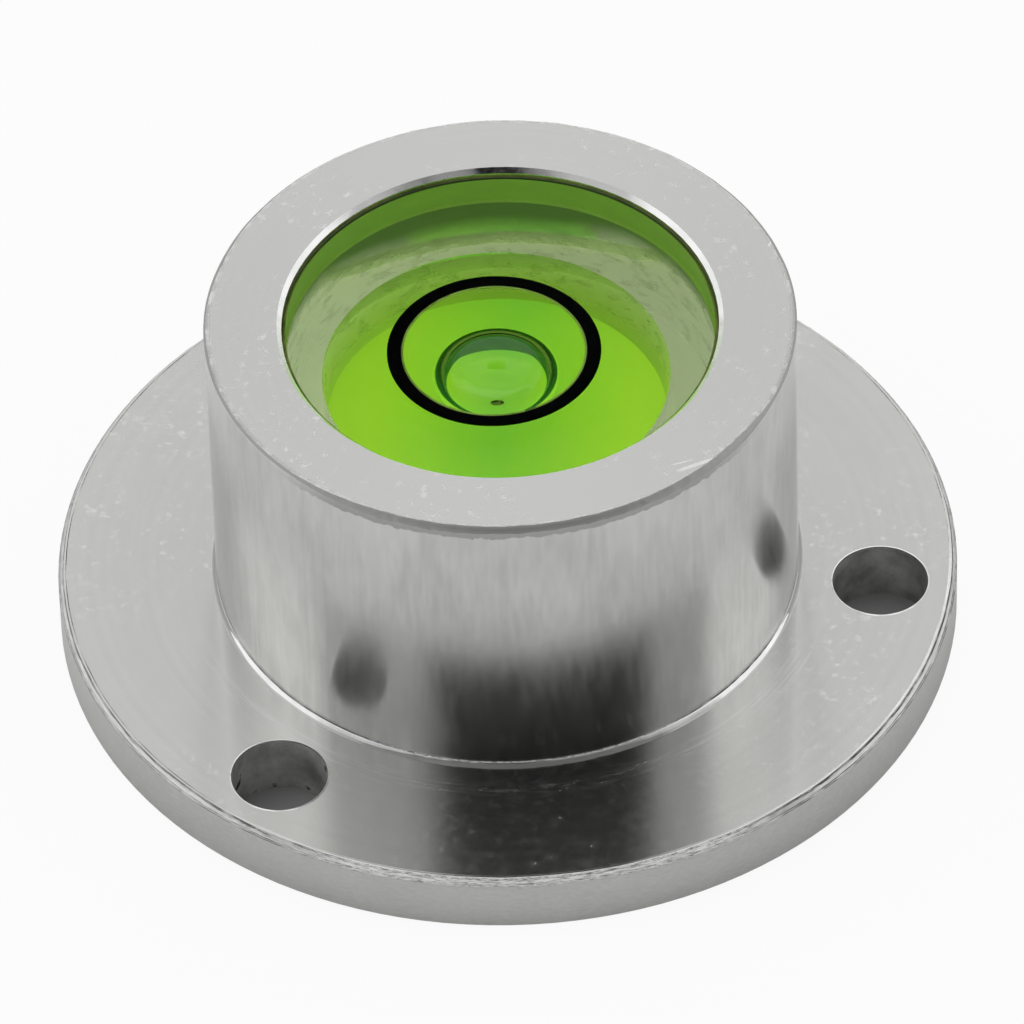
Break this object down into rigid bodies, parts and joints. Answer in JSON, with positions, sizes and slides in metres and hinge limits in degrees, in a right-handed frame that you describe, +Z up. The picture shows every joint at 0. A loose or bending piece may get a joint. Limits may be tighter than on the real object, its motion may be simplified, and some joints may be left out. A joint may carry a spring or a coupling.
{
  "type": "bullseye level",
  "caption": "Round spirit level: a sealed vial with a target ring and a bubble, in a turned metal housing with a bolting flange.",
  "frame": {"origin": "centre of the flange's underside, on the axis of the housing", "axes": "+Z up along the housing's axis, from the flange to the rim; +X through the first bolt hole"},
  "size_m": [0.06, 0.06, 0.0262],
  "materials": {
    "turned_aluminium": "satin",
    "clear_acrylic": "polished",
    "vial_acrylic": "polished",
    "black_ink": "satin",
    "white_plastic": "matte",
    "plug_resin": "matte",
    "green_liquid": "gloss",
    "air": "gloss"
  },
  "bodies": {
    "housing": {"housing": "turned_aluminium", "cover_disc": "clear_acrylic", "target_ring": "black_ink", "vial_body": "vial_acrylic", "base_plug": "white_plastic", "fill_pin": "plug_resin"},
    "liquid": {"level_liquid": "green_liquid"},
    "bubble": {"air_bubble": "air"}
  },
  "joints": [
    {"name": "bubble_bearing", "type": "hinge", "parent": "housing", "child": "liquid", "pos_m": [-0.00035, -0.00005, 0.0155], "axis": [0, 0, 1], "continuous": true},
    {"name": "bubble_travel", "type": "hinge", "parent": "liquid", "child": "bubble", "pos_m": [-0.00035, -0.00005, -0.02025], "axis": [1, 0, 0], "range_deg": [-10, 10], "stiffness_Nm_per_rad": 0.0002, "deforming": ["level_liquid"]}
  ]
}
